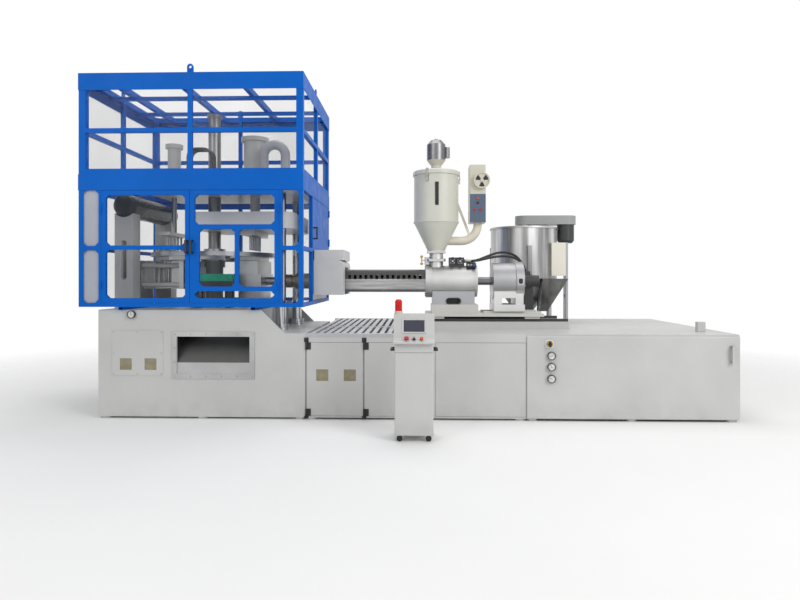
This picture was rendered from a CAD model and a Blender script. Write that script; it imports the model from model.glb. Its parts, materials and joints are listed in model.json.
import json
import math

import bmesh
import bpy
from mathutils import Matrix, Vector


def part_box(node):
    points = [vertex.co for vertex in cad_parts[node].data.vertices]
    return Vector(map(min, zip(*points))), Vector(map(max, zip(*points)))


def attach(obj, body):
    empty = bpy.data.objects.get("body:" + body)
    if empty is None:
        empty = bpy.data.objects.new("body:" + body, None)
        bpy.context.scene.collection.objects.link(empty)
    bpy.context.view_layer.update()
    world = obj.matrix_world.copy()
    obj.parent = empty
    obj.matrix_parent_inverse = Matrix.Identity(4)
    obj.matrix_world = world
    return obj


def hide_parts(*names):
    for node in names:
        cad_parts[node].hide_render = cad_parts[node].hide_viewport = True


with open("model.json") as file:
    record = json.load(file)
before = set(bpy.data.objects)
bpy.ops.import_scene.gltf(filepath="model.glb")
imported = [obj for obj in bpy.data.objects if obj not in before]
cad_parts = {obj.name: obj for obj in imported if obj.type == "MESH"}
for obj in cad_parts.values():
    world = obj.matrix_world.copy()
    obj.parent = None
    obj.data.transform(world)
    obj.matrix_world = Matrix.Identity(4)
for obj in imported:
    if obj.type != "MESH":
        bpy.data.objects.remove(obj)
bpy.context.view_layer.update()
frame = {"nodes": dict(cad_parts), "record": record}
nodes = frame["nodes"]

# Camera, worked out from straight edges of the photograph, in metres, radians, pixels and sensor millimetres
CAMERA_PLACE = (0.123, -6.640, 1.414)
CAMERA_TURN = 0.029
CAMERA_REACH = 200
PHOTO_WIDTH = 800
PHOTO_HEIGHT = 600
FOCAL_PIXELS = 600
HORIZON_ROW = 277.5
SENSOR_WIDTH = 36

# Colours, linear, as they look under plain white light
GREY = (0.555, 0.556, 0.546)
BLUE = (0.003, 0.127, 0.56)
SILVER = (0.47, 0.48, 0.50)
STEEL = (0.42, 0.43, 0.44)
STAINLESS = (0.36, 0.36, 0.36)
CHROME = (0.52, 0.53, 0.54)
DARK_CHROME = (0.20, 0.20, 0.21)
CREAM = (0.64, 0.61, 0.51)
PALE_CREAM = (0.74, 0.70, 0.58)
BLACK = (0.012, 0.012, 0.013)
DARK_GREY = (0.045, 0.046, 0.048)
RUBBER = (0.016, 0.016, 0.017)
DIAL_WHITE = (0.70, 0.70, 0.68)
TANK_GREY = (0.040, 0.044, 0.052)
HEAT_TINT = (0.28, 0.24, 0.20)
LAMP_RED = (0.62, 0.012, 0.010)
CAP_RED = (0.55, 0.012, 0.012)
CAP_AMBER = (0.70, 0.10, 0.02)
LATCH_YELLOW = (0.65, 0.42, 0.03)
MAT_GREEN = (0.005, 0.40, 0.24)
FILTER = (0.30, 0.265, 0.175)
DEVICE = (0.26, 0.28, 0.29)
HOPPER_GREY = (0.67, 0.67, 0.59)
PANEL_BLUE = (0.10, 0.135, 0.20)
OFF_WHITE = (0.62, 0.61, 0.58)
ZINC = (0.46, 0.46, 0.46)
HAZE = (0.42, 0.44, 0.50)
SHEET_GREY = (0.11, 0.11, 0.108)
TURNED = (0.57, 0.57, 0.565)
LOADER_STEEL = (0.20, 0.20, 0.205)
BAND_STEEL = (0.09, 0.09, 0.09)
PALE_GREY = (0.66, 0.66, 0.655)
PANE = (0.055, 0.065, 0.072)
RAM_STEEL = (0.35, 0.35, 0.36)
COLUMN_STEEL = (0.27, 0.27, 0.265)
FUNNEL_STEEL = (0.15, 0.15, 0.145)
LIGHT_CREAM = (0.88, 0.85, 0.74)
PLATEN_WHITE = (0.84, 0.84, 0.82)
COVER_GREY = (0.35, 0.355, 0.355)
VALVE_BLUE = (0.012, 0.075, 0.36)
SCREEN_DARK = (0.045, 0.048, 0.070)
SCREEN_LIGHT = (0.065, 0.068, 0.095)

# Patterns of the finishes: NOISE gives scale and detail, TONES dark and light shares, BUMP strength and depth
NOISE_LOW = 0.3
NOISE_HIGH = 0.7
DUST_HEIGHT = 0.22
DUST_NOISE = (9.0, 5.0)
DUST_ENDS = (0.42, 0.7)
DUST_SHARE = 0.35
DUST_TONE = 0.62
PAINT_NOISE = (1.6, 5.0)
PAINT_TONES = (0.93, 1.05)
PAINT_GLOSS_SCALE = 7.0
PEEL_NOISE = (260.0, 2.0)
PEEL_BUMP = (0.05, 0.002)
METAL_NOISE = (2.2, 5.0)
BRUSH_NOISE = (5.0, 6.0)
FINE_DEPTH = 0.001
STREAK_NOISE = (4.0, 3.0)
STREAK_STRETCH = (2, 2, 0.12)
STREAK_TONES = (0.62, 2.0)
STREAK_ENDS = (0.36, 0.66)
STREAK_ROUGH = (0.40, 0.56)
ROLLED_NOISE = (5.0, 4.0)
ROLLED_STRETCH = (40, 40, 1)
ROLLED_STRENGTH = 0.06
BAND_NOISE = (4.0, 5.0)
BAND_STRETCH = (0.6, 6, 10)
BAND_TONES = (0.7, 1.4)
BAND_ROUGH = (0.30, 0.44)
BAND_EDGE = 0.004
BAND_SHARE = 0.57
PLASTIC_NOISE = (12.0, 3.0)
PLASTIC_TONES = (0.8, 1.15)
PLASTIC_GLOSS_SCALE = 30.0
PEBBLE_DETAIL = 2.0
WIPE_NOISE = (3.0, 6.0)
WIPE_STRETCH = (1, 1, 6)
WIPE_ROUGH = (0.02, 0.08)
PANE_NOISE = (1.4, 4.0)
POLYCARBONATE_IOR = 1.58
RIB_NOISE = (14.0, 1.0)
RIB_STRETCH = (1, 1, 12)
RIB_TONES = (0.75, 1.25)
RIB_BUMP = (0.3, 0.002)
LENS_ROUGH = 0.18
LENS_SHEEN = 0.25
SCREEN_NOISE_SCALE = 3.0
SCREEN_ROUGH = 0.25
SCREEN_SHEEN = 0.3

MATERIALS = {}


# Node helpers
def new_material(name, metallic=0.0):
    """A fresh material, kept in MATERIALS under its name: gives its node tree and its shader."""
    material = bpy.data.materials.new(name)
    material.use_nodes = True
    MATERIALS[name] = material
    shader = material.node_tree.nodes["Principled BSDF"]
    shader.inputs["Metallic"].default_value = metallic
    return material.node_tree, shader


def noise(tree, scale, detail=3.0, stretch=(1, 1, 1)):
    """A noise pattern fixed to the object, stretched along an axis where it is brushed."""
    place = tree.nodes.new("ShaderNodeTexCoord")
    mapping = tree.nodes.new("ShaderNodeMapping")
    mapping.inputs["Scale"].default_value = stretch
    pattern = tree.nodes.new("ShaderNodeTexNoise")
    pattern.inputs["Scale"].default_value = scale
    pattern.inputs["Detail"].default_value = detail
    tree.links.new(place.outputs["Object"], mapping.inputs["Vector"])
    tree.links.new(mapping.outputs["Vector"], pattern.inputs["Vector"])
    return pattern.outputs["Fac"]


def above_floor(tree):
    """How high a point is above the floor, at rest."""
    place = tree.nodes.new("ShaderNodeTexCoord")
    split = tree.nodes.new("ShaderNodeSeparateXYZ")
    tree.links.new(place.outputs["Object"], split.inputs["Vector"])
    return split.outputs["Z"]


def tint(colour, share=1.0):
    """A colour made lighter or darker by a share of itself."""
    return tuple(min(1.0, channel * share) for channel in colour) + (1.0,)


def shades(tree, fac, low, high, start=NOISE_LOW, end=NOISE_HIGH):
    """A ramp between two colours."""
    ramp = tree.nodes.new("ShaderNodeValToRGB")
    ramp.color_ramp.elements[0].position = start
    ramp.color_ramp.elements[0].color = low
    ramp.color_ramp.elements[1].position = end
    ramp.color_ramp.elements[1].color = high
    tree.links.new(fac, ramp.inputs["Fac"])
    return ramp.outputs["Color"]


def tones(tree, fac, colour, shares, *ends):
    """A ramp between two shares of one colour."""
    low, high = (tint(colour, share) for share in shares)
    return shades(tree, fac, low, high, *ends)


def between(tree, value, low, high, start=NOISE_LOW, end=NOISE_HIGH):
    """A number that runs from low to high as a pattern does."""
    span = tree.nodes.new("ShaderNodeMapRange")
    span.inputs["From Min"].default_value = start
    span.inputs["From Max"].default_value = end
    span.inputs["To Min"].default_value = low
    span.inputs["To Max"].default_value = high
    tree.links.new(value, span.inputs["Value"])
    return span.outputs["Result"]


def combine(tree, operation, first, second):
    """The result of a calculation with two values."""
    calculation = tree.nodes.new("ShaderNodeMath")
    calculation.operation = operation
    tree.links.new(first, calculation.inputs[0])
    tree.links.new(second, calculation.inputs[1])
    return calculation.outputs["Value"]


def give_way(tree, fac, colour, plain):
    """A patterned colour that gives way to a plain one as a value rises."""
    mix = tree.nodes.new("ShaderNodeMix")
    mix.data_type = "RGBA"
    tree.links.new(fac, mix.inputs["Factor"])
    tree.links.new(colour, mix.inputs["A"])
    mix.inputs["B"].default_value = plain
    return mix.outputs["Result"]


def bump(tree, shader, relief, strength, depth):
    """Surface grain from a pattern."""
    grain = tree.nodes.new("ShaderNodeBump")
    grain.inputs["Strength"].default_value = strength
    grain.inputs["Distance"].default_value = depth
    tree.links.new(relief, grain.inputs["Height"])
    tree.links.new(grain.outputs["Normal"], shader.inputs["Normal"])


def coat(tree, shader, colour, rough):
    """Gives the shader a patterned colour and roughness."""
    tree.links.new(colour, shader.inputs["Base Color"])
    tree.links.new(rough, shader.inputs["Roughness"])


def scuffs(tree, colour, dirt):
    """Darkens a colour towards the floor, where dust and scuffs gather."""
    low = between(tree, above_floor(tree), 1.0, 0.0, 0.0, DUST_HEIGHT)
    patch = between(tree, noise(tree, *DUST_NOISE), 0.0, DUST_SHARE, *DUST_ENDS)
    return give_way(tree, combine(tree, "MULTIPLY", low, patch), colour, dirt)


# Materials
def painted(name, colour, rough=(0.34, 0.48), dusty=False, sheen=0.4):
    """Powder coat or enamel: slight drift of tone, orange peel and uneven gloss."""
    tree, shader = new_material(name)
    tone = tones(tree, noise(tree, *PAINT_NOISE), colour, PAINT_TONES)
    if dusty:
        tone = scuffs(tree, tone, tint(colour, DUST_TONE))
    coat(tree, shader, tone, between(tree, noise(tree, PAINT_GLOSS_SCALE), *rough))
    shader.inputs["Specular IOR Level"].default_value = sheen
    bump(tree, shader, noise(tree, *PEEL_NOISE), *PEEL_BUMP)


def metal(name, colour, rough=(0.26, 0.42), stretch=(60, 60, 2), grain=0.08, contrast=0.15):
    """Ground or brushed metal with its grain along one axis."""
    tree, shader = new_material(name, metallic=1.0)
    brushed = noise(tree, *BRUSH_NOISE, stretch)
    tone = tones(tree, noise(tree, *METAL_NOISE), colour, (1 - contrast, 1 + contrast))
    coat(tree, shader, tone, between(tree, brushed, *rough))
    bump(tree, shader, brushed, grain, FINE_DEPTH)


def streaked(name, colour):
    """Rolled stainless sheet: broad upright bands of light and dark, with fine upright grain."""
    tree, shader = new_material(name, metallic=1.0)
    bands = noise(tree, *STREAK_NOISE, STREAK_STRETCH)
    fine = noise(tree, *ROLLED_NOISE, ROLLED_STRETCH)
    coat(tree, shader, tones(tree, bands, colour, STREAK_TONES, *STREAK_ENDS),
         between(tree, fine, *STREAK_ROUGH))
    bump(tree, shader, fine, ROLLED_STRENGTH, FINE_DEPTH)


def banded(name, colour, band, start):
    """Stainless sheet along the machine, dark above a height where its vent slots run."""
    tree, shader = new_material(name, metallic=1.0)
    above = between(tree, above_floor(tree), 0.0, 1.0, start, start + BAND_EDGE)
    brushed = noise(tree, *BAND_NOISE, BAND_STRETCH)
    tone = give_way(tree, above, tones(tree, brushed, colour, BAND_TONES), tint(band))
    coat(tree, shader, tone, between(tree, brushed, *BAND_ROUGH))


def plastic(name, colour, rough=(0.3, 0.5), pebble=180.0, strength=0.12):
    """Moulded plastic or rubber with a fine pebbled skin."""
    tree, shader = new_material(name)
    tone = tones(tree, noise(tree, *PLASTIC_NOISE), colour, PLASTIC_TONES)
    coat(tree, shader, tone, between(tree, noise(tree, PLASTIC_GLOSS_SCALE), *rough))
    bump(tree, shader, noise(tree, pebble, PEBBLE_DETAIL), strength, FINE_DEPTH)


def clear_sheet(name, colour, body):
    """Clear polycarbonate with faint wipe marks and a share of body colour."""
    tree, shader = new_material(name)
    shader.inputs["Base Color"].default_value = tint(colour)
    wipe = noise(tree, *WIPE_NOISE, WIPE_STRETCH)
    tree.links.new(between(tree, wipe, *WIPE_ROUGH), shader.inputs["Roughness"])
    tree.links.new(between(tree, noise(tree, *PANE_NOISE), *body), shader.inputs["Alpha"])
    shader.inputs["IOR"].default_value = POLYCARBONATE_IOR


def lens(name, colour):
    """A clear coloured lens, ribbed round its axis."""
    tree, shader = new_material(name)
    ribs = noise(tree, *RIB_NOISE, RIB_STRETCH)
    tree.links.new(tones(tree, ribs, colour, RIB_TONES), shader.inputs["Base Color"])
    shader.inputs["Roughness"].default_value = LENS_ROUGH
    shader.inputs["Specular IOR Level"].default_value = LENS_SHEEN
    bump(tree, shader, ribs, *RIB_BUMP)


def screen_glass(name):
    """A dark switched-off screen under glossy glass."""
    tree, shader = new_material(name)
    tree.links.new(shades(tree, noise(tree, SCREEN_NOISE_SCALE), tint(SCREEN_DARK), tint(SCREEN_LIGHT)),
                   shader.inputs["Base Color"])
    shader.inputs["Roughness"].default_value = SCREEN_ROUGH
    shader.inputs["Specular IOR Level"].default_value = SCREEN_SHEEN


# The finishes, each under the name of its slot or its use
guard_low, guard_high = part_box("barrel_guard")
banded("barrel_sheet", STAINLESS, BAND_STEEL, guard_low.z + (guard_high.z - guard_low.z) * BAND_SHARE)
painted("base_paint", GREY, dusty=True)
painted("guard_paint", BLUE, rough=(0.36, 0.5), sheen=0.09)
clear_sheet("clear_pane", PANE, body=(0.07, 0.11))
metal("machined_steel", STEEL)
painted("silver_paint", SILVER, rough=(0.26, 0.4))
streaked("stainless", STAINLESS)
painted("cream_paint", CREAM)
painted("tank_paint", TANK_GREY, rough=(0.2, 0.3))
painted("dark_paint", DARK_GREY, rough=(0.35, 0.5))
plastic("black_plastic", BLACK)
plastic("black_rubber", RUBBER, rough=(0.45, 0.62))
metal("zinc", ZINC, rough=(0.35, 0.5), stretch=(20, 20, 20))
metal("heater", HEAT_TINT, rough=(0.35, 0.55), stretch=(2, 40, 40))
lens("red_lens", LAMP_RED)
plastic("red_plastic", CAP_RED, rough=(0.2, 0.35))
lens("amber_plastic", CAP_AMBER)
painted("hopper_paint", HOPPER_GREY, rough=(0.3, 0.42))
painted("off_white", OFF_WHITE, rough=(0.3, 0.45))
painted("hazy_sheet", HAZE, rough=(0.3, 0.4))
metal("sheet_dark", SHEET_GREY, rough=(0.4, 0.55), stretch=(30, 30, 30))
metal("turned", TURNED, rough=(0.40, 0.48), stretch=(2, 40, 40), grain=0.04)
metal("ram_steel", RAM_STEEL, rough=(0.40, 0.48), stretch=(2, 40, 40), grain=0.04)
painted("cover_grey", COVER_GREY, rough=(0.3, 0.42))
plastic("valve_blue", VALVE_BLUE)
metal("column_steel", COLUMN_STEEL, rough=(0.30, 0.36), stretch=(2, 2, 12), grain=0.006, contrast=0.06)
streaked("funnel_steel", FUNNEL_STEEL)
painted("light_cream", LIGHT_CREAM)
painted("platen_white", PLATEN_WHITE, rough=(0.3, 0.42))
painted("pale_grey", PALE_GREY)
painted("pale_cream", PALE_CREAM)
metal("loader_steel", LOADER_STEEL, rough=(0.3, 0.4), stretch=(30, 30, 1), grain=0.04)
plastic("device_plastic", DEVICE)
plastic("mat_green", MAT_GREEN, rough=(0.5, 0.7), pebble=90.0, strength=0.3)
plastic("filter", FILTER, rough=(0.6, 0.8), pebble=140.0, strength=0.4)
painted("panel_blue", PANEL_BLUE)
screen_glass("screen")
metal("chrome", CHROME, rough=(0.1, 0.2), stretch=(4, 4, 40), grain=0.02)
metal("dark_chrome", DARK_CHROME, rough=(0.12, 0.22), stretch=(4, 40, 40), grain=0.02)
plastic("dial_white", DIAL_WHITE, rough=(0.4, 0.5))
plastic("latch_yellow", LATCH_YELLOW)

for entry in frame["record"]["subparts"]:
    mesh = nodes[entry["node"]].data
    mesh.materials.clear()
    mesh.materials.append(MATERIALS[entry["material_slot"]])


# Rounded edges on sheet metal and frames, by width in metres, which catch the light as bent sheet does
SOFT_EDGES = {
    0.001: ("cabinet_door_left", "cabinet_door_right"),
    0.002: ("front_door_left", "front_door_right", "side_door", "console_cabinet", "console_head",
            "nozzle_guard", "injection_carriage", "dryer_blower"),
    0.003: ("guard_lower_frame", "guard_upper_frame", "clamp_base", "power_base", "cabinet_base"),
    0.004: ("top_crosshead",),
}
WELD_REACH = 0.00002
EDGE_ANGLE = math.radians(40)
EDGE_SEGMENTS = 2


def soften(node, width):
    """Rounds a node's edges, with modifiers that leave its own mesh alone."""
    weld = nodes[node].modifiers.new("weld", "WELD")
    weld.merge_threshold = WELD_REACH
    edges = nodes[node].modifiers.new("edges", "BEVEL")
    edges.width = width
    edges.segments = EDGE_SEGMENTS
    edges.limit_method = "ANGLE"
    edges.angle_limit = EDGE_ANGLE
    edges.harden_normals = True


for width, names in SOFT_EDGES.items():
    for node in names:
        soften(node, width)


# Finishes that cover some or all of a node's faces
def in_box(low=(None, None, None), high=(None, None, None)):
    """A test for points between two corners, with None where a side is open."""
    def test(point):
        return all((start is None or value >= start) and (end is None or value <= end)
                   for start, value, end in zip(low, point, high))
    return test


def repaint(node, material, test=in_box()):
    """Gives another finish to the faces of a node whose middles pass a test, or to all of them."""
    mesh = nodes[node].data
    mesh.materials.append(MATERIALS[material])
    index = len(mesh.materials) - 1
    for face in mesh.polygons:
        if test(face.center):
            face.material_index = index


def off_axis(point, first, second, middle_first, middle_second):
    """How far a point is from an axis, in the plane of two coordinates."""
    return math.hypot(point[first] - middle_first, point[second] - middle_second)


# Sizes in metres and counts of the pieces that have a finish of their own
HAIR = 0.001
# Clamp half and doors
MAT_HEIGHT = 0.076
TANK_RADIUS = 0.125
COLUMN_CAP = 0.084
LARGE_PIPE_RUN = 0.450
DOOR_GRIP_REACH = 0.048
DOOR_GRIP_ZONE = 0.080
# Hopper, loader and blower
SIGHT_HALF = 0.021
SIGHT_DEPTH = 0.0115
SIGHT_LOW = 0.502
SIGHT_HIGH = 0.759
LID_HEIGHT = 0.030
NECK_HEIGHT = 0.069
CONE_HEIGHT = 0.060
CASING_HEIGHT = 0.327
CONTROL_BOX_HEIGHT = 0.319
FAN_DEPTH = 0.055
FAN_DISH = 0.012
FAN_VENT_DEPTH = 0.024
FAN_VENT_REACH = 0.072
FAN_RISE = 0.465
FAN_RADIUS = 0.090
LAMP_RISE = 0.270
SWITCH_RISE = 0.219
FITTING_RADIUS = 0.015
# Mixer
COVER_HEIGHT = 0.111
MIXER_RADIUS = 0.412
MIXER_REACH = 0.478
MIXER_POST = 0.028
MIXER_LID_RISE = 1.163
MIXER_BOX_LOW = 0.578
MIXER_BOX_HIGH = 0.984
MIXER_BOX_LENGTH = 0.169
FUNNEL_FOOT = 0.144
FUNNEL_HEIGHT = 0.400
FUNNEL_PLACE = 0.300
FUNNEL_SETBACK = 0.330
FUNNEL_HALF = 0.150
# Bases
CHUTE_FRONT = 0.012
PIVOT_ROOM = 0.0005
BASE_PLATE = 0.012
PANEL_SHEET = 0.004
PANEL_SETBACK = 0.400
PANEL_TOP_ROOM = 0.115
DEVICE_REACH = 0.095
VENT_WIDTH = 0.121
VENT_HEIGHT = 0.115
VENT_COUNT = 2
VENT_LEFT = 0.222
VENT_SPACING = 0.251
VENT_BOTTOM = 0.488
DOOR_VENT_LEFT = 0.108
DOOR_VENT_SPACING = 0.275
DOOR_VENT_RISE = 0.346
PULL_REACH = 0.045
ISOLATOR_RADIUS = 0.042
# Injection unit
RAIL_BEAM_HEIGHT = 0.079
HOUSING_RADIUS = 0.186
MANIFOLD_START = 0.264
MANIFOLD_RISE = 0.185
PEDESTAL_TOP = 0.1505
VALVE_BLOCK_REACH = 0.163
VALVE_BLOCK_DEPTH = 0.101
VALVE_BLOCK_HEIGHT = 0.3035
RAM_LENGTH = 0.339
RAM_DROP = 0.105
ROD_RADIUS = 0.045
# Console
BEACON_BASE_HEIGHT = 0.024
LEDGE_FRONT = 0.014
LEDGE_RUN = 0.065
LEDGE_RISE = 0.030
BEZEL_HEIGHT = 0.006
SCREEN_HALF = 0.091
SCREEN_DEPTH = 0.003
SCREEN_RUN = 0.060
CONSOLE_GRIP_REACH = 0.040
FORK_HEIGHT = 0.046

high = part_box("catch_tray")[1]
repaint("catch_tray", "mat_green", in_box((None, None, high.z - MAT_HEIGHT)))

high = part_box("air_tank")[1]
repaint("air_tank", "off_white", in_box(high=(None, None, high.z - 2 * TANK_RADIUS)))

low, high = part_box("front_door_left")
repaint("front_door_left", "black_plastic",
        in_box((high.x - DOOR_GRIP_ZONE, None, None), (None, low.y + DOOR_GRIP_REACH - HAIR, None)))
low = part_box("front_door_right")[0]
repaint("front_door_right", "black_plastic",
        in_box(high=(low.x + DOOR_GRIP_ZONE, low.y + DOOR_GRIP_REACH - HAIR, None)))
low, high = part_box("side_door")
repaint("side_door", "black_plastic",
        in_box((high.x - DOOR_GRIP_REACH + HAIR, None, None), (None, low.y + DOOR_GRIP_ZONE, None)))

hopper_low, hopper_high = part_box("hopper_dryer")
hopper_x = (hopper_low.x + hopper_high.x) / 2
repaint("hopper_dryer", "black_plastic",
        in_box((hopper_x - SIGHT_HALF, None, hopper_low.z + SIGHT_LOW),
               (hopper_x + SIGHT_HALF, hopper_low.y + SIGHT_DEPTH, hopper_low.z + SIGHT_HIGH)))

lid_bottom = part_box("vacuum_loader")[0].z
neck_bottom = lid_bottom + LID_HEIGHT
repaint("vacuum_loader", "loader_steel")
repaint("vacuum_loader", "hopper_paint", in_box(high=(None, None, neck_bottom + HAIR)))
repaint("vacuum_loader", "off_white",
        in_box((None, None, neck_bottom + HAIR), (None, None, neck_bottom + NECK_HEIGHT)))
repaint("vacuum_loader", "cream_paint",
        in_box((None, None, neck_bottom + NECK_HEIGHT),
               (None, None, neck_bottom + NECK_HEIGHT + CONE_HEIGHT - HAIR)))

low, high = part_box("dryer_blower")
box_top = high.z - CASING_HEIGHT
box_bottom = box_top - CONTROL_BOX_HEIGHT
box_front = low.y + FAN_DEPTH
fan_face = low.y + FAN_DISH
fan_x = high.x - FAN_RADIUS
fan_z = box_bottom + FAN_RISE
repaint("dryer_blower", "pale_cream", in_box(high=(None, None, box_bottom - HAIR)))
repaint("dryer_blower", "panel_blue",
        in_box((None, box_front - HAIR, box_bottom - HAIR), (None, box_front + HAIR, box_top - HAIR)))
repaint("dryer_blower", "red_plastic",
        in_box((None, None, box_bottom), (None, box_front - HAIR, box_bottom + SWITCH_RISE - FITTING_RADIUS)))
repaint("dryer_blower", "black_plastic",
        in_box((None, None, box_bottom + SWITCH_RISE - FITTING_RADIUS),
               (None, box_front - HAIR, box_bottom + SWITCH_RISE + FITTING_RADIUS)))
repaint("dryer_blower", "amber_plastic",
        in_box((None, None, box_bottom + LAMP_RISE - FITTING_RADIUS), (None, box_front - HAIR, box_top)))
repaint("dryer_blower", "black_plastic",
        lambda point: (fan_face + HAIR < point.y < fan_face + FAN_VENT_DEPTH + HAIR
                       and off_axis(point, 0, 2, fan_x, fan_z) < FAN_VENT_REACH))

cover_low, cover_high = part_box("mixer_drive")
repaint("mixer_drive", "cover_grey")
repaint("mixer_drive", "dark_paint", in_box(high=(None, None, cover_high.z - COVER_HEIGHT - HAIR)))

low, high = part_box("mixer_drum")
mixer_x = high.x - MIXER_REACH
mixer_y = (cover_low.y + cover_high.y) / 2
post_left = high.x - MIXER_POST + HAIR / 2
box_low = low.z + MIXER_BOX_LOW
box_high = low.z + MIXER_BOX_HIGH
repaint("mixer_drum", "light_cream",
        lambda point: (box_low < point.z < box_high and point.y < mixer_y
                       and post_left - MIXER_BOX_LENGTH < point.x < post_left
                       and off_axis(point, 0, 1, mixer_x, mixer_y) > MIXER_RADIUS + HAIR))
repaint("mixer_drum", "silver_paint", lambda point: point.x >= post_left)
repaint("mixer_drum", "zinc", in_box((None, None, low.z + MIXER_LID_RISE)))
funnel_x = mixer_x + FUNNEL_PLACE
funnel_y = mixer_y - FUNNEL_SETBACK
funnel_z = low.z + FUNNEL_FOOT
repaint("mixer_drum", "funnel_steel",
        in_box((funnel_x - FUNNEL_HALF - HAIR, funnel_y - FUNNEL_HALF - HAIR, funnel_z - HAIR),
               (post_left, funnel_y + FUNNEL_HALF + HAIR, funnel_z + FUNNEL_HEIGHT + HAIR)))

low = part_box("injection_rails")[0]
repaint("injection_rails", "base_paint", in_box(high=(None, None, low.z + RAIL_BEAM_HEIGHT)))
repaint("injection_rails", "dark_paint", in_box((None, None, low.z + RAIL_BEAM_HEIGHT + HAIR)))

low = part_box("signal_beacon")[0]
repaint("signal_beacon", "cream_paint", in_box(high=(None, None, low.z + BEACON_BASE_HEIGHT + HAIR)))

low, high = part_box("tie_bars")
column_x = low.x + COLUMN_CAP
column_y = (low.y + high.y) / 2
repaint("tie_bars", "chrome")
repaint("tie_bars", "column_steel",
        lambda point: off_axis(point, 0, 1, column_x, column_y) < COLUMN_CAP + HAIR)
repaint("clamp_platen", "platen_white")
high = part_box("clamp_pipes")[1]
repaint("clamp_pipes", "silver_paint", in_box((high.x - LARGE_PIPE_RUN, None, None)))
repaint("top_crosshead", "platen_white")
repaint("nozzle_guard", "pale_grey")
repaint("barrel_guard", "barrel_sheet")
repaint("injection_housing", "turned")
repaint("rear_housing", "turned")
chute_low, chute_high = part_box("discharge_chute")
repaint("discharge_chute", "sheet_dark", in_box((None, chute_low.y + CHUTE_FRONT, None)))

# Pivots, vents, the electrical panel and the pull of the base
bed_low, bed_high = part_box("clamp_base")
base_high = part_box("cabinet_base")[1]
front = bed_low.y
for node in ("cabinet_base", "cabinet_door_left", "cabinet_door_right"):
    repaint(node, "black_plastic", in_box(high=(None, front - PIVOT_ROOM, None)))
panel_back = front + PANEL_SETBACK
inside_left = bed_high.x + BASE_PLATE + HAIR
inside_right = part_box("cabinet_door_right")[1].x
repaint("cabinet_base", "device_plastic",
        in_box((inside_left, panel_back - DEVICE_REACH, None),
               (inside_right, panel_back - PANEL_SHEET - HAIR, base_high.z - PANEL_TOP_ROOM)))
repaint("cabinet_base", "zinc",
        in_box((inside_left, panel_back - PANEL_SHEET - HAIR, None),
               (inside_right, panel_back + HAIR, base_high.z - PANEL_TOP_ROOM)))


def paint_vent(node, x, z):
    """Shows the filter behind a vent's slats."""
    repaint(node, "filter", in_box((x + HAIR, None, z + HAIR),
                                   (x + VENT_WIDTH - HAIR, None, z + VENT_HEIGHT - HAIR)))


door_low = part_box("cabinet_door_left")[0]
for place in range(VENT_COUNT):
    paint_vent("cover_panels", bed_low.x + VENT_LEFT + place * VENT_SPACING, VENT_BOTTOM)
    paint_vent("cabinet_door_left", door_low.x + DOOR_VENT_LEFT + place * DOOR_VENT_SPACING,
               door_low.z + DOOR_VENT_RISE)
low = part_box("cover_panels")[0]
repaint("cover_panels", "zinc", in_box(high=(None, low.y + PULL_REACH - HAIR, None)))
knob_low, knob_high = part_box("isolator_knob")
knob_x = (knob_low.x + knob_high.x) / 2
knob_z = (knob_low.z + knob_high.z) / 2
repaint("gauge_cluster", "platen_white",
        lambda point: off_axis(point, 0, 2, knob_x, knob_z) < ISOLATOR_RADIUS + HAIR)

# Manifold, valve block, carriage and ram of the injection unit
housing_low, housing_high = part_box("injection_housing")
axis_y = (housing_low.y + housing_high.y) / 2
axis_z = housing_low.z + HOUSING_RADIUS
repaint("injection_housing", "dark_paint",
        in_box((housing_low.x + MANIFOLD_START, None, axis_z + MANIFOLD_RISE)))
carriage_low, carriage_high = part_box("injection_carriage")
repaint("injection_carriage", "off_white", in_box(high=(None, None, carriage_low.z + PEDESTAL_TOP)))
repaint("injection_carriage", "dark_paint",
        in_box((carriage_high.x - VALVE_BLOCK_REACH, carriage_high.y - VALVE_BLOCK_DEPTH,
                carriage_high.z - VALVE_BLOCK_HEIGHT)))
rear_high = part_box("rear_housing")[1]
repaint("rear_housing", "ram_steel", in_box((None, None, axis_z - RAM_DROP)))
repaint("rear_housing", "dark_chrome",
        lambda point: (point.x < rear_high.x - RAM_LENGTH
                       and off_axis(point, 1, 2, axis_y, axis_z) < ROD_RADIUS + HAIR))

# Console: screen, bezels, grips and forks
head_low, head_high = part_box("console_head")
head_x = (head_low.x + head_high.x) / 2
ledge_foot = Vector((head_x, head_low.y, head_low.z + LEDGE_FRONT))
ledge_out = Vector((0, -LEDGE_RISE, LEDGE_RUN)).normalized()
screen_foot = ledge_foot + Vector((0, LEDGE_RUN, LEDGE_RISE))
screen_out = Vector((0, screen_foot.z - head_high.z, SCREEN_RUN)).normalized()
repaint("console_head", "zinc",
        lambda point: point.z > screen_foot.z and (point - screen_foot).dot(screen_out) > HAIR)
repaint("console_head", "zinc",
        lambda point: (point.y < screen_foot.y
                       and HAIR < (point - ledge_foot).dot(ledge_out) < BEZEL_HEIGHT + HAIR))
repaint("console_head", "screen",
        lambda point: (abs((point - screen_foot).dot(screen_out) - SCREEN_DEPTH) < HAIR / 2
                       and abs(point.x - head_x) < SCREEN_HALF - HAIR))
low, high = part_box("console_cabinet")
repaint("console_cabinet", "black_plastic", in_box(high=(low.x + CONSOLE_GRIP_REACH - HAIR, None, None)))
repaint("console_cabinet", "black_plastic", in_box((high.x - CONSOLE_GRIP_REACH + HAIR, None, None)))
repaint("console_cabinet", "black_plastic", in_box(high=(None, None, low.z + FORK_HEIGHT)))


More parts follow.
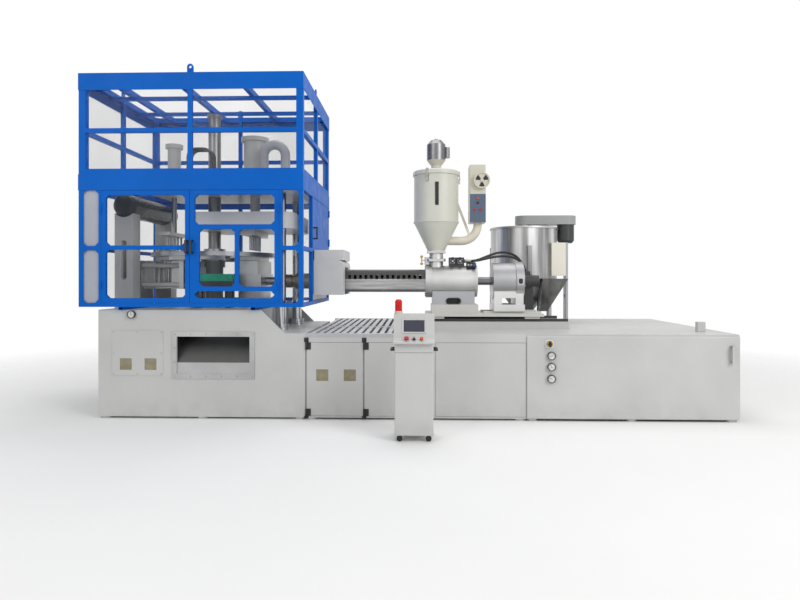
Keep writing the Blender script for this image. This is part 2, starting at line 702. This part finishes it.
# Hoses between the manifold and the valve block, on the routes of the CAD tubes
HOSE_ROUTE = [(0.675, 0.180, 1.600), (0.7842, 0.180, 1.600), (0.91524, 0.2136, 1.645),
              (1.06812, 0.278, 1.688), (1.221, 0.3536, 1.682), (1.33748, 0.4236, 1.615),
              (1.39208, 0.4544, 1.505), (1.403, 0.460, 1.410), (1.403, 0.460, 1.325)]
HOSE_PITCH = 0.050
FRONT_SWAY = ((0, 0), (0, 0), (-0.010, -0.012), (-0.024, -0.026), (-0.024, -0.026), (-0.014, -0.016),
              (0, 0), (0, 0), (0, 0))
BACK_SWAY = ((0, 0), (0, 0), (0.006, 0.010), (0.010, 0.022), (0.010, 0.020), (0.006, 0.010),
             (0, 0), (0, 0), (0, 0))
HOSE_RADIUS = 0.014
HOSE_ROUND_STEPS = 6
HOSE_LONG_STEPS = 12
HOSE_ORDER = 3


def add_object(name, data):
    """A new object in the scene."""
    item = bpy.data.objects.new(name, data)
    bpy.context.scene.collection.objects.link(item)
    return item


def build_hose(name, node, shift, sways):
    """One hose along the route, moved sideways by a shift and swaying a little, in place of its CAD tube."""
    route = [(x, y + shift + side, z + lift) for (x, y, z), (side, lift) in zip(HOSE_ROUTE, sways)]
    data = bpy.data.curves.new(name, "CURVE")
    data.dimensions = "3D"
    data.bevel_depth = HOSE_RADIUS
    data.bevel_resolution = HOSE_ROUND_STEPS
    data.resolution_u = HOSE_LONG_STEPS
    data.use_fill_caps = True
    spline = data.splines.new("NURBS")
    spline.points.add(len(route) - 1)
    for point, place in zip(spline.points, route):
        point.co = (*place, 1)
    spline.order_u = HOSE_ORDER
    spline.use_endpoint_u = True
    data.materials.append(MATERIALS["black_rubber"])
    hose = add_object(name, data)
    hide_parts(node)
    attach(hose, "carriage")


build_hose("hose_line_front", "injection_hose_front", 0, FRONT_SWAY)
build_hose("hose_line_back", "injection_hose_back", HOSE_PITCH, BACK_SWAY)

# Directions, counts, turns in degrees and sizes in metres of the small pieces that only the picture needs
TO_FRONT = (0, -1, 0)
TO_LEFT = (-1, 0, 0)
TO_RIGHT = (1, 0, 0)
UPWARD = (0, 0, 1)
HEX_SIDES = 6
THIN_SIDES = 16
WASHER_SIDES = 20
KNOB_SIDES = 20
ROUND_SIDES = 24
COIL_SIDES = 28
DIAL_SIDES = 40
SINK = 0.0002
# Bolts and screws
WASHER_SHARE = 1.35
WASHER_THICKNESS_SHARE = 0.2
HEAD_SHARE = 0.9
BOLT_SIZE = 0.009
SCREW_SIZE = 0.005
# Gauge dials
DIAL_RADIUS = 0.0335
DIAL_DEPTH = 0.0010
DIAL_RECESS = 0.008
TICK_COUNT = 11
TICK_SWEEP = math.radians(270)
TICK_START = math.radians(225)
TICK_OUTER = 0.030
TICK_INNER = 0.0245
TICK_HALF = 0.0008
NEEDLE_LENGTH = 0.026
NEEDLE_TAIL = 0.008
NEEDLE_HALF = 0.0014
HUB_RADIUS = 0.004
MARK_DEPTH = 0.0006
GAUGE_DEPTH = 0.030
GAUGE_PANEL_DEPTH = 0.016
GAUGE_FROM_LEFT = 0.239
GAUGE_DROPS = (0.435, 0.319, 0.210)
BED_GAUGE_PLACE = 0.344
BED_GAUGE_DROP = 0.046
READINGS = (0.25, 0.38, 0.10, 0.45)
# Outlet flange and vented panel
FLANGE_HALF = 0.025
FLANGE_HEIGHT = 0.473
FLANGE_WIDE_COUNT = 6
FLANGE_TALL_COUNT = 4
VENT_PANEL_LEFT = 0.140
VENT_PANEL_WIDTH = 0.519
VENT_PANEL_BOTTOM = 0.432
VENT_PANEL_HEIGHT = 0.449
COVER_SHEET = 0.006
SCREW_INSET = 0.016
SCREW_COUNT = 3
# Housings of the injection unit
FLANGE_TURNS = (0, 60, 90, 120, 180, 240, 270, 300)
FLANGE_RING = 0.165
THROAT_PLACE = 0.122
THROAT_HALF = 0.085
REAR_RING = 0.190
REAR_COUNT = 12
# Hopper latches
LATCH_TURNS = (-114, 6, 126)
LATCH_HALF = 0.013
LATCH_DROP = 0.105
LATCH_SHEET = 0.005
LATCH_CLEAR = 0.0005
HOPPER_RADIUS = 0.252
RIM_RADIUS = 0.266
HOOK_REACH = 0.016
BUTTON_RADIUS = 0.012
BUTTON_DROP = 0.050
# Hose couplings
NUT_RADIUS = 0.0235
NUT_ENDS = (-0.014, 0.010)
SLEEVE_RADIUS = 0.0170
SLEEVE_LENGTH = 0.055
RING_RADIUS = 0.0185
RING_PLACES = (0.018, 0.030, 0.042)
RING_WIDTH = 0.005
# Valves and pilot block
MANIFOLD_HALF = 0.060
MANIFOLD_TOP = 0.266
MANIFOLD_END = 0.435
VALVE_PLACES = (0.302, 0.388)
VALVE_DROP = 0.042
VALVE_FOOT = 0.026
VALVE_FOOT_CUT = 0.006
VALVE_FOOT_DEPTH = 0.009
COIL_RADIUS = 0.023
COIL_END = 0.056
CAP_RADIUS = 0.012
CAP_END = 0.070
PLUG_HALF = 0.014
PLUG_RISE = (0.020, 0.044)
PLUG_DEPTH = (0.016, 0.050)
PILOT_GAP = 0.022
PILOT_LENGTH = 0.106
PILOT_RISE = (0.150, 0.211)
PILOT_CUT = 0.012
PILOT_BACK = 0.055
PILOT_FRONT = 0.122
PILOT_PLUG = 0.011
PILOT_PLUG_SHARES = (0.2, 0.5)
PILOT_PLUG_DEPTH = 0.010
PILOT_CAP = 0.017
PILOT_CAP_DEPTH = 0.034
# Feed gate
GATE_HALF = (0.104, 0.100)
GATE_CUT = 0.020
GATE_DROP = 0.112
GATE_SHEET = 0.028
TONGUE_HALF = 0.036
TONGUE_REACH = 0.166
TONGUE_SHEET = 0.010
GATE_BOX_HALF = (0.028, 0.052)
GATE_BOX_ENDS = (-0.036, 0.050)
GATE_BOX_CUT = 0.008
HANDLE_RADIUS = 0.008
HANDLE_HALF = 0.028
HANDLE_KNOB_STEPS = ((0.011, 0.000, 0.004), (0.017, 0.004, 0.020), (0.012, 0.020, 0.026))
# Window of the rear housing
WINDOW_PLACE = 0.046
WINDOW_FRAME = (0.033, 0.040)
WINDOW_GLASS = (0.022, 0.029)
WINDOW_CUT = 0.008
WINDOW_BACK = 0.014
WINDOW_PROUD = (0.003, 0.005)
RAM_FLANGE = 0.2179
# Grip of the pedestal
GRIP_LENGTH = 0.150
GRIP_HEIGHT = 0.056
GRIP_PLACE = 0.310
GRIP_RISE = 0.0355
GRIP_BACK = 0.060
GRIP_SHEET = 0.006
GRIP_RIM = 0.009
GRIP_PROUD = 0.010
GRIP_STEPS = 12
PEDESTAL_HALF = 0.150
# Screens of the fan
INTAKE_TURNS = (30, 150, 270)
INTAKE_SPREAD = 26
INTAKE_INNER = 0.022
INTAKE_OUTER = 0.070
INTAKE_STEPS = 8
INTAKE_PROUD = 0.0015
BAR_PLACES = (0.033, 0.043, 0.053, 0.062)
BAR_HALF = 0.0016
BAR_PROUD = 0.003
# Ring of the main switch
KNOB_FACE = 0.022
KNOB_RING_OUTER = 0.028
KNOB_RING_INNER = 0.019
KNOB_RING_PROUD = 0.0012
KNOB_RING_STEPS = 40


def new_piece(name, build, body, slot, *materials):
    """A mesh piece that rides on a body, with its slot and its materials in the order of their numbers."""
    mesh = bpy.data.meshes.new(name)
    build.to_mesh(mesh)
    build.free()
    for material in materials:
        mesh.materials.append(MATERIALS[material])
    piece = add_object(name, mesh)
    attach(piece, body)


def facing(place, axis):
    """A frame at a place whose own z points along an axis."""
    turn = Vector(UPWARD).rotation_difference(Vector(axis))
    return Matrix.Translation(place) @ turn.to_matrix().to_4x4()


def add_round(build, stand, radius, start, end, sides, material=0):
    """A short round or many-sided bar between two heights of a frame."""
    made = bmesh.ops.create_cone(build, cap_ends=True, segments=sides, radius1=radius, radius2=radius,
                                 depth=end - start,
                                 matrix=stand @ Matrix.Translation((0, 0, (start + end) / 2)))
    for face in {face for vertex in made["verts"] for face in vertex.link_faces}:
        face.material_index = material


def add_plate(build, stand, outline, start, end, material=0):
    """A flat plate with an outline, between two heights of a frame."""
    lower = [build.verts.new(stand @ Vector((x, y, start))) for x, y in outline]
    upper = [build.verts.new(stand @ Vector((x, y, end))) for x, y in outline]
    faces = [build.faces.new(lower[::-1]), build.faces.new(upper)]
    for here in range(len(outline)):
        there = (here + 1) % len(outline)
        faces.append(build.faces.new((lower[here], lower[there], upper[there], upper[here])))
    for face in faces:
        face.material_index = material


def add_bolt(build, place, axis, size):
    """A hexagon bolt head on its washer."""
    stand = facing(place, axis)
    add_round(build, stand, size * WASHER_SHARE, -SINK, size * WASHER_THICKNESS_SHARE, WASHER_SIDES)
    add_round(build, stand, size, size * WASHER_THICKNESS_SHARE, size * HEAD_SHARE, HEX_SIDES)


# Gauge dials with their ticks and needles
def spoke(turn, inner, outer, half):
    """Four corners of a bar that points out from a dial's middle."""
    along = Vector((math.cos(turn), math.sin(turn)))
    across = Vector((-along.y, along.x)) * half
    return [along * inner - across, along * outer - across, along * outer + across, along * inner + across]


def add_dial(build, place, reading):
    """One white dial that faces the front."""
    stand = Matrix.Translation(place) @ Matrix.Rotation(math.pi / 2, 4, "X")
    add_round(build, stand, DIAL_RADIUS, -SINK, DIAL_DEPTH, DIAL_SIDES, 0)
    for tick in range(TICK_COUNT):
        turn = TICK_START - TICK_SWEEP * tick / (TICK_COUNT - 1)
        add_plate(build, stand, spoke(turn, TICK_INNER, TICK_OUTER, TICK_HALF), DIAL_DEPTH,
                  DIAL_DEPTH + MARK_DEPTH, 1)
    turn = TICK_START - TICK_SWEEP * reading
    add_plate(build, stand, spoke(turn, -NEEDLE_TAIL, NEEDLE_LENGTH, NEEDLE_HALF), DIAL_DEPTH + MARK_DEPTH,
              DIAL_DEPTH + 2 * MARK_DEPTH, 1)
    add_round(build, stand, HUB_RADIUS, DIAL_DEPTH, DIAL_DEPTH + 3 * MARK_DEPTH, THIN_SIDES, 1)


gauge_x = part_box("power_base")[0].x + GAUGE_FROM_LEFT
dial_y = front - GAUGE_DEPTH + DIAL_RECESS
dial_places = [(gauge_x, dial_y - GAUGE_PANEL_DEPTH, base_high.z - drop) for drop in GAUGE_DROPS]
dial_places.append((bed_low.x + BED_GAUGE_PLACE, dial_y, bed_high.z - BED_GAUGE_DROP))
dials = bmesh.new()
for place, reading in zip(dial_places, READINGS):
    add_dial(dials, place, reading)
new_piece("gauge_dials", dials, "base", "dark_paint", "dial_white", "black_plastic")


# Bolts on the outlet flange and screws round the vented panel
def round_the_edge(x0, x1, z0, z1, wide, tall):
    """Places spread round the edge of an upright rectangle."""
    across = [x0 + (x1 - x0) * step / (wide - 1) for step in range(wide)]
    upward = [z0 + (z1 - z0) * step / (tall - 1) for step in range(1, tall - 1)]
    return [(x, z) for x in across for z in (z0, z1)] + [(x, z) for x in (x0, x1) for z in upward]


flange_bolts = bmesh.new()
for x, z in round_the_edge(chute_low.x + FLANGE_HALF, chute_high.x - FLANGE_HALF,
                           chute_low.z + FLANGE_HALF, chute_low.z + FLANGE_HEIGHT - FLANGE_HALF,
                           FLANGE_WIDE_COUNT, FLANGE_TALL_COUNT):
    add_bolt(flange_bolts, (x, chute_low.y, z), TO_FRONT, BOLT_SIZE)
new_piece("outlet_flange_bolts", flange_bolts, "base", "zinc", "zinc")

panel_left = bed_low.x + VENT_PANEL_LEFT
panel_top = VENT_PANEL_BOTTOM + VENT_PANEL_HEIGHT
panel_screws = bmesh.new()
for x, z in round_the_edge(panel_left + SCREW_INSET, panel_left + VENT_PANEL_WIDTH - SCREW_INSET,
                           VENT_PANEL_BOTTOM + SCREW_INSET, panel_top - SCREW_INSET,
                           SCREW_COUNT, SCREW_COUNT):
    add_bolt(panel_screws, (x, front - COVER_SHEET, z), TO_FRONT, SCREW_SIZE)
new_piece("vent_panel_screws", panel_screws, "base", "zinc", "zinc")


# Bolts of the injection unit
def on_ring(x, radius, turn):
    """A place on a ring round the axis of the injection unit."""
    return (x, axis_y + radius * math.cos(turn), axis_z + radius * math.sin(turn))


housing_bolts = bmesh.new()
for turn in FLANGE_TURNS:
    add_bolt(housing_bolts, on_ring(housing_low.x, FLANGE_RING, math.radians(turn)), TO_LEFT, BOLT_SIZE)
for side_x in (-1, 1):
    for side_y in (-1, 1):
        add_bolt(housing_bolts, (housing_low.x + THROAT_PLACE + side_x * THROAT_HALF,
                                 axis_y + side_y * THROAT_HALF, housing_high.z), UPWARD, BOLT_SIZE)
new_piece("housing_bolts", housing_bolts, "carriage", "silver_paint", "zinc")
rear_bolts = bmesh.new()
for step in range(REAR_COUNT):
    turn = math.tau * (step + 0.5) / REAR_COUNT
    add_bolt(rear_bolts, on_ring(rear_high.x, REAR_RING, turn), TO_RIGHT, BOLT_SIZE)
new_piece("rear_housing_bolts", rear_bolts, "ram", "silver_paint", "zinc")

# Latches that hold the hopper's lid down
edge = RIM_RADIUS + LATCH_CLEAR
hook = LID_HEIGHT + LATCH_CLEAR
strap = [(HOPPER_RADIUS, -LATCH_DROP), (edge + LATCH_SHEET, -LATCH_DROP),
         (edge + LATCH_SHEET, hook + LATCH_SHEET), (edge - HOOK_REACH, hook + LATCH_SHEET),
         (edge - HOOK_REACH, hook), (edge, hook), (edge, -BUTTON_DROP), (HOPPER_RADIUS, -BUTTON_DROP)]
latches = bmesh.new()
for turn in LATCH_TURNS:
    stand = (Matrix.Translation((hopper_x, axis_y, lid_bottom)) @ Matrix.Rotation(math.radians(turn), 4, "Z")
             @ Matrix.Rotation(math.pi / 2, 4, "X"))
    add_plate(latches, stand, strap, -LATCH_HALF, LATCH_HALF, 0)
    spot = stand @ Vector((edge + LATCH_SHEET, -BUTTON_DROP, 0))
    outward = stand.to_3x3() @ Vector(TO_RIGHT)
    add_round(latches, facing(spot, outward), BUTTON_RADIUS, -SINK, LATCH_SHEET, ROUND_SIDES, 1)
new_piece("hopper_latches", latches, "carriage", "stainless", "stainless", "latch_yellow")

# Couplings at the ends of the hoses
couplings = bmesh.new()
for shift in (0, HOSE_PITCH):
    for (x, y, z), axis in ((HOSE_ROUTE[0], TO_RIGHT), (HOSE_ROUTE[-1], UPWARD)):
        stand = facing((x, y + shift, z), axis)
        add_round(couplings, stand, NUT_RADIUS, *NUT_ENDS, HEX_SIDES)
        add_round(couplings, stand, SLEEVE_RADIUS, 0, SLEEVE_LENGTH, ROUND_SIDES)
        for place in RING_PLACES:
            add_round(couplings, stand, RING_RADIUS, place, place + RING_WIDTH, ROUND_SIDES)
new_piece("hose_couplings", couplings, "carriage", "zinc", "zinc")


# Valves on the manifold and a pilot block beside it
def cut_plate(half_x, half_y, cut):
    """The outline of a plate with its corners cut off."""
    right = [(half_x - cut, -half_y), (half_x, -half_y + cut), (half_x, half_y - cut), (half_x - cut, half_y)]
    return right + [(-x, -y) for x, y in right]


valves = bmesh.new()
valve_z = axis_z + MANIFOLD_TOP - VALVE_DROP
plug_middle = (PLUG_RISE[0] + PLUG_RISE[1]) / 2
plug = cut_plate(PLUG_HALF, (PLUG_RISE[1] - PLUG_RISE[0]) / 2, VALVE_FOOT_CUT / 2)
for place in VALVE_PLACES:
    stand = facing((housing_low.x + place, axis_y - MANIFOLD_HALF, valve_z), TO_FRONT)
    add_plate(valves, stand, cut_plate(VALVE_FOOT, VALVE_FOOT, VALVE_FOOT_CUT), -SINK, VALVE_FOOT_DEPTH, 1)
    add_round(valves, stand, COIL_RADIUS, VALVE_FOOT_DEPTH, COIL_END, COIL_SIDES, 0)
    add_round(valves, stand, CAP_RADIUS, COIL_END, CAP_END, HEX_SIDES, 1)
    add_plate(valves, stand, [(x, y + plug_middle) for x, y in plug], *PLUG_DEPTH, 0)
pilot_x0 = housing_low.x + MANIFOLD_END + PILOT_GAP
pilot_x1 = pilot_x0 + PILOT_LENGTH
pilot_z0, pilot_z1 = (axis_z + rise for rise in PILOT_RISE)
stand = facing((0, axis_y, 0), TO_FRONT)
add_plate(valves, stand, [(pilot_x0, pilot_z0), (pilot_x1, pilot_z0), (pilot_x1, pilot_z1 - PILOT_CUT),
                          (pilot_x1 - PILOT_CUT, pilot_z1), (pilot_x0 + PILOT_CUT, pilot_z1),
                          (pilot_x0, pilot_z1 - PILOT_CUT)], PILOT_BACK, PILOT_FRONT, 0)
pilot_middle = (pilot_z0 + pilot_z1) / 2
for share in PILOT_PLUG_SHARES:
    stand = facing((pilot_x0 + PILOT_LENGTH * share, axis_y - PILOT_FRONT, pilot_middle), TO_FRONT)
    add_round(valves, stand, PILOT_PLUG, -SINK, PILOT_PLUG_DEPTH, HEX_SIDES, 1)
stand = facing((pilot_x1 - PILOT_CAP - PILOT_CUT / 2, axis_y - PILOT_FRONT, pilot_middle), TO_FRONT)
add_round(valves, stand, PILOT_CAP, -SINK, PILOT_CAP_DEPTH, ROUND_SIDES, 2)
new_piece("manifold_valves", valves, "carriage", "dark_paint", "black_plastic", "zinc", "valve_blue")

# Feed gate on the throat, with its slide and handle
gate = bmesh.new()
gate_z = housing_high.z - GATE_DROP
stand = Matrix.Translation((housing_low.x + THROAT_PLACE, axis_y, gate_z))
add_plate(gate, stand, cut_plate(*GATE_HALF, GATE_CUT), 0, GATE_SHEET, 0)
bolt_x, bolt_y = (half - GATE_CUT for half in GATE_HALF)
for side in (-1, 1):
    for end in (-1, 1):
        add_bolt(gate, stand @ Vector((side * bolt_x, end * bolt_y, GATE_SHEET)), UPWARD, BOLT_SIZE)
add_plate(gate, stand, [(x - GATE_HALF[0], y) for x, y in cut_plate(*GATE_BOX_HALF, GATE_BOX_CUT)],
          *GATE_BOX_ENDS, 0)
tongue_z = (GATE_SHEET - TONGUE_SHEET) / 2
tongue = [(-TONGUE_REACH, -TONGUE_HALF), (-TONGUE_REACH, TONGUE_HALF), (-GATE_HALF[0], TONGUE_HALF),
          (-GATE_HALF[0], -TONGUE_HALF)]
add_plate(gate, stand, tongue, tongue_z, tongue_z + TONGUE_SHEET, 1)
bar = stand @ Vector((-TONGUE_REACH, -TONGUE_HALF, GATE_SHEET / 2))
add_round(gate, facing(bar, UPWARD), HANDLE_RADIUS, -HANDLE_HALF, HANDLE_HALF, THIN_SIDES, 1)
for way in (-1, 1):
    stand = facing(bar + Vector((0, 0, way * HANDLE_HALF)), (0, 0, way))
    for radius, start, end in HANDLE_KNOB_STEPS:
        add_round(gate, stand, radius, start, end, KNOB_SIDES, 2)
new_piece("feed_gate", gate, "carriage", "silver_paint", "turned", "zinc", "latch_yellow")


# Black grip in the window of the pedestal
def slot_outline(length, height):
    """The outline of a slot with round ends."""
    reach = (length - height) / 2
    points = []
    for way in (1, -1):
        for step in range(GRIP_STEPS + 1):
            turn = math.pi * (step / GRIP_STEPS - 0.5)
            points.append((way * (reach + height / 2 * math.cos(turn)), way * height / 2 * math.sin(turn)))
    return points


def add_rim(build, stand, inner, outer, start, end):
    """A raised rim between two outlines with as many points."""
    rings = [[build.verts.new(stand @ Vector((x, y, level))) for x, y in outline]
             for outline, level in ((inner, start), (inner, end), (outer, end), (outer, start))]
    for first, second in zip(rings, rings[1:] + rings[:1]):
        for here in range(len(inner)):
            there = (here + 1) % len(inner)
            build.faces.new((first[here], first[there], second[there], second[here]))


grip_z = carriage_low.z + PEDESTAL_TOP + GRIP_RISE
stand = facing((housing_low.x + GRIP_PLACE, axis_y - PEDESTAL_HALF, grip_z), TO_FRONT)
grip = bmesh.new()
add_plate(grip, stand, slot_outline(GRIP_LENGTH, GRIP_HEIGHT), -GRIP_BACK - GRIP_SHEET, -GRIP_BACK)
add_rim(grip, stand, slot_outline(GRIP_LENGTH, GRIP_HEIGHT),
        slot_outline(GRIP_LENGTH + 2 * GRIP_RIM, GRIP_HEIGHT + 2 * GRIP_RIM), -SINK, GRIP_PROUD)
new_piece("pedestal_grip", grip, "carriage", "black_plastic", "black_plastic")

# Window of the rear housing, set on the front of its flange
window = bmesh.new()
stand = facing((rear_high.x - WINDOW_PLACE, axis_y - RAM_FLANGE, axis_z), TO_FRONT)
add_plate(window, stand, cut_plate(*WINDOW_FRAME, WINDOW_CUT), -WINDOW_BACK, WINDOW_PROUD[0], 0)
add_plate(window, stand, cut_plate(*WINDOW_GLASS, WINDOW_CUT), -SINK, WINDOW_PROUD[1], 1)
new_piece("rear_housing_window", window, "ram", "silver_paint", "zinc", "black_plastic")


# Barred screens over the fan's intakes
def arc(radius, middle):
    """Points along the arc of an intake, about a middle direction in degrees."""
    shares = [2 * step / INTAKE_STEPS - 1 for step in range(INTAKE_STEPS + 1)]
    turns = [math.radians(middle + INTAKE_SPREAD * share) for share in shares]
    return [(radius * math.cos(turn), radius * math.sin(turn)) for turn in turns]


def arc_band(inner, outer, middle):
    """The outline between two arcs of an intake."""
    return arc(inner, middle)[::-1] + arc(outer, middle)


screens = bmesh.new()
stand = facing((fan_x, fan_face, fan_z), TO_FRONT)
for turn in INTAKE_TURNS:
    add_plate(screens, stand, arc_band(INTAKE_INNER, INTAKE_OUTER, turn), -SINK, INTAKE_PROUD)
    for radius in BAR_PLACES:
        add_plate(screens, stand, arc_band(radius - BAR_HALF, radius + BAR_HALF, turn),
                  INTAKE_PROUD - SINK, BAR_PROUD)
new_piece("fan_screens", screens, "carriage", "black_plastic", "black_plastic")

# Yellow ring on the main switch's knob
turns = [math.tau * step / KNOB_RING_STEPS for step in range(KNOB_RING_STEPS)]
inner, outer = ([(radius * math.cos(turn), radius * math.sin(turn)) for turn in turns]
                for radius in (KNOB_RING_INNER, KNOB_RING_OUTER))
stand = facing((knob_x, knob_high.y - KNOB_FACE, knob_z), TO_FRONT)
ring = bmesh.new()
add_rim(ring, stand, inner, outer, -SINK, KNOB_RING_PROUD)
new_piece("isolator_ring", ring, "isolator", "black_plastic", "latch_yellow")


# Camera
camera_data = bpy.data.cameras.new("camera")
camera_data.sensor_width = SENSOR_WIDTH
camera_data.lens = SENSOR_WIDTH * FOCAL_PIXELS / PHOTO_WIDTH
camera_data.shift_y = (HORIZON_ROW - PHOTO_HEIGHT / 2) / PHOTO_WIDTH
camera_data.clip_end = CAMERA_REACH
camera = add_object("camera", camera_data)
camera.location = CAMERA_PLACE
camera.rotation_euler = (math.pi / 2, 0, CAMERA_TURN)
bpy.context.scene.camera = camera

# Floor, world and lamps
FLOOR_SPAN = 40
FLOOR_FADE = (3.2, 8.5)
FLOOR_WHITE = (0.92, 0.92, 0.915)
FLOOR_NOISE = (0.8, 4.0)
FLOOR_TONES = (0.98, 1.0)
FLOOR_ROUGH = 0.9
WORLD_WHITE = (1, 1, 1, 1)
WORLD_LEVEL = 0.50
SHOWN_LEVEL = 1.0
# Name, place, target, width in metres and power in watts
LAMPS = (("key", (6.5, -7.0, 5.5), (0.5, 0, 1.2), 5.0, 375),
         ("fill", (-6.0, -7.5, 5.5), (-0.5, 0, 1.2), 5.0, 150),
         ("top", (0.0, 1.0, 8.5), (0, 0.3, 1.0), 6.0, 200))


def plain_to_camera(tree, lit, shown):
    """Shows a plain colour to the camera, to mirrors and through glass, and the lit one to all else."""
    path = tree.nodes.new("ShaderNodeLightPath")
    seen = path.outputs["Is Camera Ray"]
    for ray in ("Is Glossy Ray", "Is Transmission Ray"):
        seen = combine(tree, "MAXIMUM", seen, path.outputs[ray])
    mix = tree.nodes.new("ShaderNodeMixShader")
    tree.links.new(seen, mix.inputs["Fac"])
    tree.links.new(lit, mix.inputs[1])
    tree.links.new(shown, mix.inputs[2])
    return mix.outputs["Shader"]


def build_floor():
    """A pale floor that fades out before its edge."""
    mesh = bpy.data.meshes.new("floor")
    half = FLOOR_SPAN / 2
    corners = [(-half, -half, 0), (half, -half, 0), (half, half, 0), (-half, half, 0)]
    mesh.from_pydata(corners, [], [(0, 1, 2, 3)])
    floor = add_object("floor", mesh)
    tree, shader = new_material("floor")
    tone = tones(tree, noise(tree, *FLOOR_NOISE), FLOOR_WHITE, FLOOR_TONES)
    tree.links.new(tone, shader.inputs["Base Color"])
    shader.inputs["Roughness"].default_value = FLOOR_ROUGH
    place = tree.nodes.new("ShaderNodeTexCoord")
    distance = tree.nodes.new("ShaderNodeVectorMath")
    distance.operation = "LENGTH"
    tree.links.new(place.outputs["Object"], distance.inputs[0])
    tree.links.new(between(tree, distance.outputs["Value"], 1.0, 0.0, *FLOOR_FADE), shader.inputs["Alpha"])
    mesh.materials.append(MATERIALS["floor"])


def build_world():
    """A white room that lights the object at a plain level."""
    world = bpy.data.worlds.new("studio")
    bpy.context.scene.world = world
    world.use_nodes = True
    tree = world.node_tree
    lit = tree.nodes["Background"]
    shown = tree.nodes.new("ShaderNodeBackground")
    for backdrop, level in ((lit, WORLD_LEVEL), (shown, SHOWN_LEVEL)):
        backdrop.inputs["Color"].default_value = WORLD_WHITE
        backdrop.inputs["Strength"].default_value = level
    tree.links.new(plain_to_camera(tree, lit.outputs["Background"], shown.outputs["Background"]),
                   tree.nodes["World Output"].inputs["Surface"])


def area_lamp(name, place, target, width, power):
    """A soft round lamp that points at a target."""
    lamp = bpy.data.lights.new(name, "AREA")
    lamp.shape = "DISK"
    lamp.size = width
    lamp.energy = power
    holder = add_object(name, lamp)
    holder.location = place
    holder.rotation_euler = (Vector(target) - Vector(place)).to_track_quat("-Z", "Y").to_euler()


build_floor()
build_world()
for lamp_row in LAMPS:
    area_lamp(*lamp_row)

bpy.context.scene.view_settings.view_transform = "Standard"
